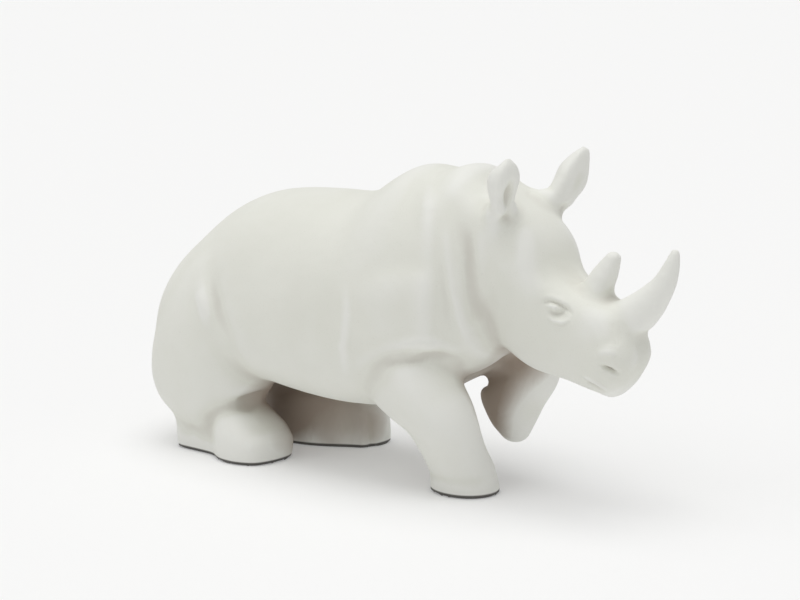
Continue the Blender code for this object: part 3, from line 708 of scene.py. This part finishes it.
def fit_to_solid(mesh):
    """Gives the skin exactly the room that the solid takes."""
    low, high = (np.array(corner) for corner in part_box("rhinoceros"))
    points = positions(mesh) * HUNDREDTH
    own_low, own_high = points.min(axis=0), points.max(axis=0)
    points = low + (points - own_low) * (high - low) / (own_high - own_low)
    mesh.vertices.foreach_set("co", points.ravel())
    mesh.update()


def bisque(finish):
    """Unglazed white porcelain: chalky and faintly mottled, with painted shade in its carved
    hollows, under the belly and between the legs, and a painted contact shadow round the bottom
    of each foot.
    """
    material = bpy.data.materials.new("white_bisque_detailed")
    material.use_nodes = True
    nodes, links = material.node_tree.nodes, material.node_tree.links
    shader = nodes["Principled BSDF"]
    shader.inputs["Metallic"].default_value = 0.0
    shader.inputs["Specular IOR Level"].default_value = finish.gloss
    place_node = nodes.new("ShaderNodeTexCoord")

    def grain(scale, detail):
        node = nodes.new("ShaderNodeTexNoise")
        node.inputs["Scale"].default_value = scale
        node.inputs["Detail"].default_value = detail
        links.new(place_node.outputs["Object"], node.inputs["Vector"])
        return node.outputs["Fac"]

    def spread(value, low, high, to_low, to_high):
        node = nodes.new("ShaderNodeMapRange")
        for name, number in zip(
            ("From Min", "From Max", "To Min", "To Max"), (low, high, to_low, to_high)
        ):
            node.inputs[name].default_value = number
        links.new(value, node.inputs["Value"])
        return node.outputs["Result"]

    def blend(factor, first, second):
        node = nodes.new("ShaderNodeMix")
        node.data_type = "RGBA"
        links.new(factor, node.inputs["Factor"])
        for side, name in ((first, "A"), (second, "B")):
            socket = next(s for s in node.inputs if s.name == name and s.type == "RGBA")
            if isinstance(side, bpy.types.NodeSocket):
                links.new(side, socket)
            else:
                socket.default_value = (*side, 1.0)
        return next(s for s in node.outputs if s.type == "RGBA")

    mottle = spread(grain(26.0, 3.0), 0.35, 0.65, 0.0, 1.0)
    specks = spread(grain(1900.0, 2.0), 0.60, 0.78, 0.0, 0.35)
    cavity = nodes.new("ShaderNodeAttribute")
    cavity.attribute_name = "hollow"
    # painted shade: the carved hollows are tinted darker
    painted_hollow_shade = spread(cavity.outputs["Fac"], 0.56, 1.0, 0.0, 0.55)
    on_edge = spread(cavity.outputs["Fac"], 0.42, 0.05, 0.0, 0.6)
    colour = blend(mottle, finish.body_colour, finish.mottle_colour)
    colour = blend(specks, colour, finish.speck_colour)
    colour = blend(painted_hollow_shade, colour, finish.hollow_shade_colour)
    colour = blend(on_edge, colour, finish.edge_colour)
    # painted shade: the places that the figure shuts off from the room, under the belly and
    # between the legs, are tinted darker
    shelter = nodes.new("ShaderNodeAttribute")
    shelter.attribute_name = "sheltered"
    clouded = nodes.new("ShaderNodeMath")
    clouded.operation = "ADD"
    links.new(shelter.outputs["Fac"], clouded.inputs[0])
    links.new(spread(grain(45.0, 3.0), 0.3, 0.7, -0.015, 0.015), clouded.inputs[1])
    painted_shelter_shade = spread(clouded.outputs["Value"], 0.29, 0.60, 0.0, 1.0)
    colour = blend(painted_shelter_shade, colour, finish.painted_shade_colour)
    # painted contact shadow: a dark band round the bottom of each foot
    height = nodes.new("ShaderNodeSeparateXYZ")
    links.new(place_node.outputs["Object"], height.inputs["Vector"])
    painted_contact_shadow = spread(height.outputs["Z"], *(h * FOOT_EDGE for h in CONTACT_SHADOW_FADE), 0.92, 0.0)
    colour = blend(painted_contact_shadow, colour, finish.contact_shadow_colour)
    links.new(colour, shader.inputs["Base Color"])

    chalk = spread(grain(320.0, 4.0), 0.3, 0.7, finish.roughness - 0.05, finish.roughness + 0.06)
    links.new(chalk, shader.inputs["Roughness"])

    bump = nodes.new("ShaderNodeBump")
    bump.inputs["Distance"].default_value = finish.grain_height
    bump.inputs["Strength"].default_value = 0.6
    links.new(grain(1400.0, 3.0), bump.inputs["Height"])
    broad_bump = nodes.new("ShaderNodeBump")
    broad_bump.inputs["Distance"].default_value = 4.0 * finish.grain_height
    broad_bump.inputs["Strength"].default_value = 0.5
    links.new(grain(170.0, 2.0), broad_bump.inputs["Height"])
    links.new(bump.outputs["Normal"], broad_bump.inputs["Normal"])
    links.new(broad_bump.outputs["Normal"], shader.inputs["Normal"])
    return material


def studio_white(name, colour, roughness, glow):
    """A plain painted surface that glows faintly, so that shadows on it stay light."""
    material = bpy.data.materials.new(name)
    material.use_nodes = True
    shader = material.node_tree.nodes["Principled BSDF"]
    shader.inputs["Base Color"].default_value = (*colour, 1.0)
    shader.inputs["Roughness"].default_value = roughness
    shader.inputs["Specular IOR Level"].default_value = 0.1
    shader.inputs["Emission Color"].default_value = (1.0, 1.0, 1.0, 1.0)
    shader.inputs["Emission Strength"].default_value = glow
    return material


def direction(round_it, height):
    """The way from the figure to something round it: 0 is its right side, 90 its front."""
    level = math.cos(height)
    return Vector((math.sin(round_it) * level, -math.cos(round_it) * level, math.sin(height)))


def soft_light(name, round_it, height, strength, softness):
    """A broad even light from one side, as from a large diffuser far away."""
    lamp = bpy.data.lights.new(name, "SUN")
    lamp.energy = strength
    lamp.angle = softness
    holder = bpy.data.objects.new(name, lamp)
    way = direction(round_it, height)
    holder.location = way * 2.0
    holder.rotation_mode = "QUATERNION"
    holder.rotation_quaternion = way.to_track_quat("Z", "Y")
    bpy.context.scene.collection.objects.link(holder)


class FigureForm(bpy.types.PropertyGroup):
    """Sizes of the dressed figure that may be changed."""

    skin_step: FloatProperty(
        name="Skin step",
        description="Size of the faces in which the masses are pressed together",
        default=0.47 * HUNDREDTH,
        min=0.0010,
        unit="LENGTH",
    )
    unevenness: FloatProperty(
        name="Unevenness",
        description="Height of the faint waves that hand smoothing leaves",
        default=0.00012,
        min=0.0,
        unit="LENGTH",
    )


class BisqueFinish(bpy.types.PropertyGroup):
    """Colours and surface of the unglazed porcelain."""

    body_colour: FloatVectorProperty(
        name="Body",
        description="Colour of the smoothed surface",
        subtype="COLOR",
        default=(0.775, 0.778, 0.718),
    )
    mottle_colour: FloatVectorProperty(
        name="Mottle",
        description="Second colour of the faint clouding",
        subtype="COLOR",
        default=(0.745, 0.748, 0.685),
    )
    speck_colour: FloatVectorProperty(
        name="Specks",
        description="Colour of the fine specks",
        subtype="COLOR",
        default=(0.62, 0.60, 0.54),
    )
    hollow_shade_colour: FloatVectorProperty(
        name="Hollows",
        description="Tint that deepens the shade in the carving",
        subtype="COLOR",
        default=(0.58, 0.555, 0.50),
    )
    edge_colour: FloatVectorProperty(
        name="Edges",
        description="Tint that lightens the edges",
        subtype="COLOR",
        default=(0.84, 0.84, 0.81),
    )
    painted_shade_colour: FloatVectorProperty(
        name="Sheltered places",
        description="Tint that deepens the shade under the belly and between the legs",
        subtype="COLOR",
        default=(0.40, 0.335, 0.28),
    )
    contact_shadow_colour: FloatVectorProperty(
        name="Contact shadow",
        description="Colour of the dark line round the bottom of each foot",
        subtype="COLOR",
        default=(0.05, 0.045, 0.04),
    )
    roughness: FloatProperty(
        name="Roughness",
        description="How matt the surface is",
        default=0.66,
        min=0.0,
        max=1.0,
        subtype="FACTOR",
    )
    gloss: FloatProperty(
        name="Gloss",
        description="Strength of the weak highlight",
        default=0.32,
        min=0.0,
        max=1.0,
        subtype="FACTOR",
    )
    grain_height: FloatProperty(
        name="Grain height",
        description="Height of the fine grain",
        default=0.00003,
        min=0.0,
        unit="LENGTH",
    )


class StageSettings(bpy.types.PropertyGroup):
    """Floor, lights and camera."""

    floor_colour: FloatVectorProperty(
        name="Floor",
        description="Colour of the floor",
        subtype="COLOR",
        default=(0.70, 0.70, 0.697),
    )
    floor_glow: FloatProperty(
        name="Floor glow",
        description="Faint glow of the floor, which lightens the shadows on it",
        default=0.205,
        min=0.0,
    )
    top_light: FloatProperty(
        name="Top light",
        description="Strength of the diffuser overhead",
        default=1.35,
        min=0.0,
    )
    front_light: FloatProperty(
        name="Front light",
        description="Strength of the light on the animal's face",
        default=0.08,
        min=0.0,
    )
    side_light: FloatProperty(
        name="Side light",
        description="Strength of the light on its right flank",
        default=0.45,
        min=0.0,
    )
    near_light: FloatProperty(
        name="Near light",
        description="Strength of the light from the camera's side",
        default=0.10,
        min=0.0,
    )
    room_light: FloatProperty(
        name="Room light",
        description="Brightness of the white room all round",
        default=0.46,
        min=0.0,
    )
    softness: FloatProperty(
        name="Softness",
        description="How broad the diffusers look from the figure",
        default=math.radians(50.0),
        subtype="ANGLE",
    )
    view_azimuth: FloatProperty(
        name="View azimuth",
        description="Direction of the camera round the figure",
        default=math.radians(40.0),
        subtype="ANGLE",
    )
    view_elevation: FloatProperty(
        name="View elevation",
        description="Height of the camera above the horizon",
        default=math.radians(10.0),
        subtype="ANGLE",
    )
    view_distance: FloatProperty(
        name="View distance",
        description="Distance from the camera to the point that it looks at",
        default=0.7840,
        min=0.3,
        unit="LENGTH",
    )


class RHINO_OT_cast_figure(bpy.types.Operator):
    """Press, smooth and carve the rhinoceros, and give it its bisque surface"""

    bl_idname = "rhino.cast_figure"
    bl_label = "Cast the rhinoceros"

    def execute(self, context):
        form = context.scene.rhino_form
        mesh = figure_skin(form.skin_step)
        stand(mesh)
        settle(mesh)
        work_by_hand(mesh, form.unevenness)
        fit_to_solid(mesh)
        # how deep in a hollow each vertex lies, which sets the painted shade in the carving and
        # the lighter edges
        cavity = mesh.attributes.new("hollow", "FLOAT", "POINT")
        cavity.data.foreach_set("value", hollows(mesh))
        # how sheltered each vertex is, which sets the painted shade under the belly and between
        # the legs
        shelter = mesh.attributes.new("sheltered", "FLOAT", "POINT")
        shelter.data.foreach_set("value", sheltered(mesh))
        mesh.materials.append(bisque(context.scene.rhino_finish))
        mesh.shade_smooth()
        mesh.set_sharp_from_angle(angle=math.radians(50.0))
        mesh.name = "bisque_rhinoceros"
        figure = bpy.data.objects.new("bisque_rhinoceros", mesh)
        context.scene.collection.objects.link(figure)
        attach(figure, "root")
        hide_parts("rhinoceros")
        return {"FINISHED"}


class RHINO_OT_set_stage(bpy.types.Operator):
    """Lay the pale floor, hang the lights and set up the camera"""

    bl_idname = "rhino.set_stage"
    bl_label = "Set the stage"

    def execute(self, context):
        settings = context.scene.rhino_stage
        bm = bmesh.new()
        bmesh.ops.create_circle(bm, cap_ends=True, radius=FLOOR_REACH, segments=96)
        mesh = bpy.data.meshes.new("pale_floor")
        bm.to_mesh(mesh)
        bm.free()
        finish = studio_white("pale_floor", settings.floor_colour, 0.9, settings.floor_glow)
        mesh.materials.append(finish)
        floor = bpy.data.objects.new("pale_floor", mesh)
        context.scene.collection.objects.link(floor)

        for name, round_it, height, strength in (
            ("top_diffuser", 0.0, 89.0, settings.top_light),
            ("front_diffuser", 90.0, 52.0, settings.front_light),
            ("side_diffuser", -30.0, 52.0, settings.side_light),
            ("near_diffuser", 30.0, 52.0, settings.near_light),
        ):
            soft_light(
                name, math.radians(round_it), math.radians(height), strength, settings.softness
            )

        room = bpy.data.worlds.new("white_room")
        room.use_nodes = True
        background = room.node_tree.nodes["Background"]
        background.inputs["Color"].default_value = (1.0, 1.0, 0.995, 1.0)
        background.inputs["Strength"].default_value = settings.room_light
        context.scene.world = room
        context.scene.view_settings.view_transform = "Standard"

        back = direction(settings.view_azimuth, settings.view_elevation)
        lens = bpy.data.cameras.new("photo_view")
        lens.sensor_width = 36.0
        lens.lens = 81.19
        lens.clip_start = 0.01
        lens.clip_end = 100.0
        camera = bpy.data.objects.new("photo_view", lens)
        camera.location = Vector(VIEW_POINT) + back * settings.view_distance
        camera.rotation_mode = "QUATERNION"
        camera.rotation_quaternion = (-back).to_track_quat("-Z", "Y")
        context.scene.collection.objects.link(camera)
        context.scene.camera = camera
        return {"FINISHED"}


class RHINO_PT_sidebar(bpy.types.Panel):
    """Lists the steps and the sizes and colours of each"""

    bl_idname = "RHINO_PT_sidebar"
    bl_label = "Bisque Rhinoceros"
    bl_space_type = "VIEW_3D"
    bl_region_type = "UI"
    bl_category = "Rhinoceros"

    def draw(self, context):
        scene = context.scene
        for operator, groups in (
            (RHINO_OT_cast_figure, (scene.rhino_form, scene.rhino_finish)),
            (RHINO_OT_set_stage, (scene.rhino_stage,)),
        ):
            box = self.layout.box()
            box.operator(operator.bl_idname)
            for group in groups:
                for name in group.__annotations__:
                    box.prop(group, name)


CLASSES = (
    FigureForm,
    BisqueFinish,
    StageSettings,
    RHINO_OT_cast_figure,
    RHINO_OT_set_stage,
    RHINO_PT_sidebar,
)
SETTINGS = {
    "rhino_form": FigureForm,
    "rhino_finish": BisqueFinish,
    "rhino_stage": StageSettings,
}


def register():
    for cls in CLASSES:
        bpy.utils.register_class(cls)
    for name, group in SETTINGS.items():
        setattr(bpy.types.Scene, name, PointerProperty(type=group))


def unregister():
    for name in SETTINGS:
        delattr(bpy.types.Scene, name)
    for cls in reversed(CLASSES):
        bpy.utils.unregister_class(cls)


def main():
    register()
    bpy.ops.rhino.cast_figure()
    bpy.ops.rhino.set_stage()
    bpy.context.view_layer.update()


if __name__ == "__main__":
    main()
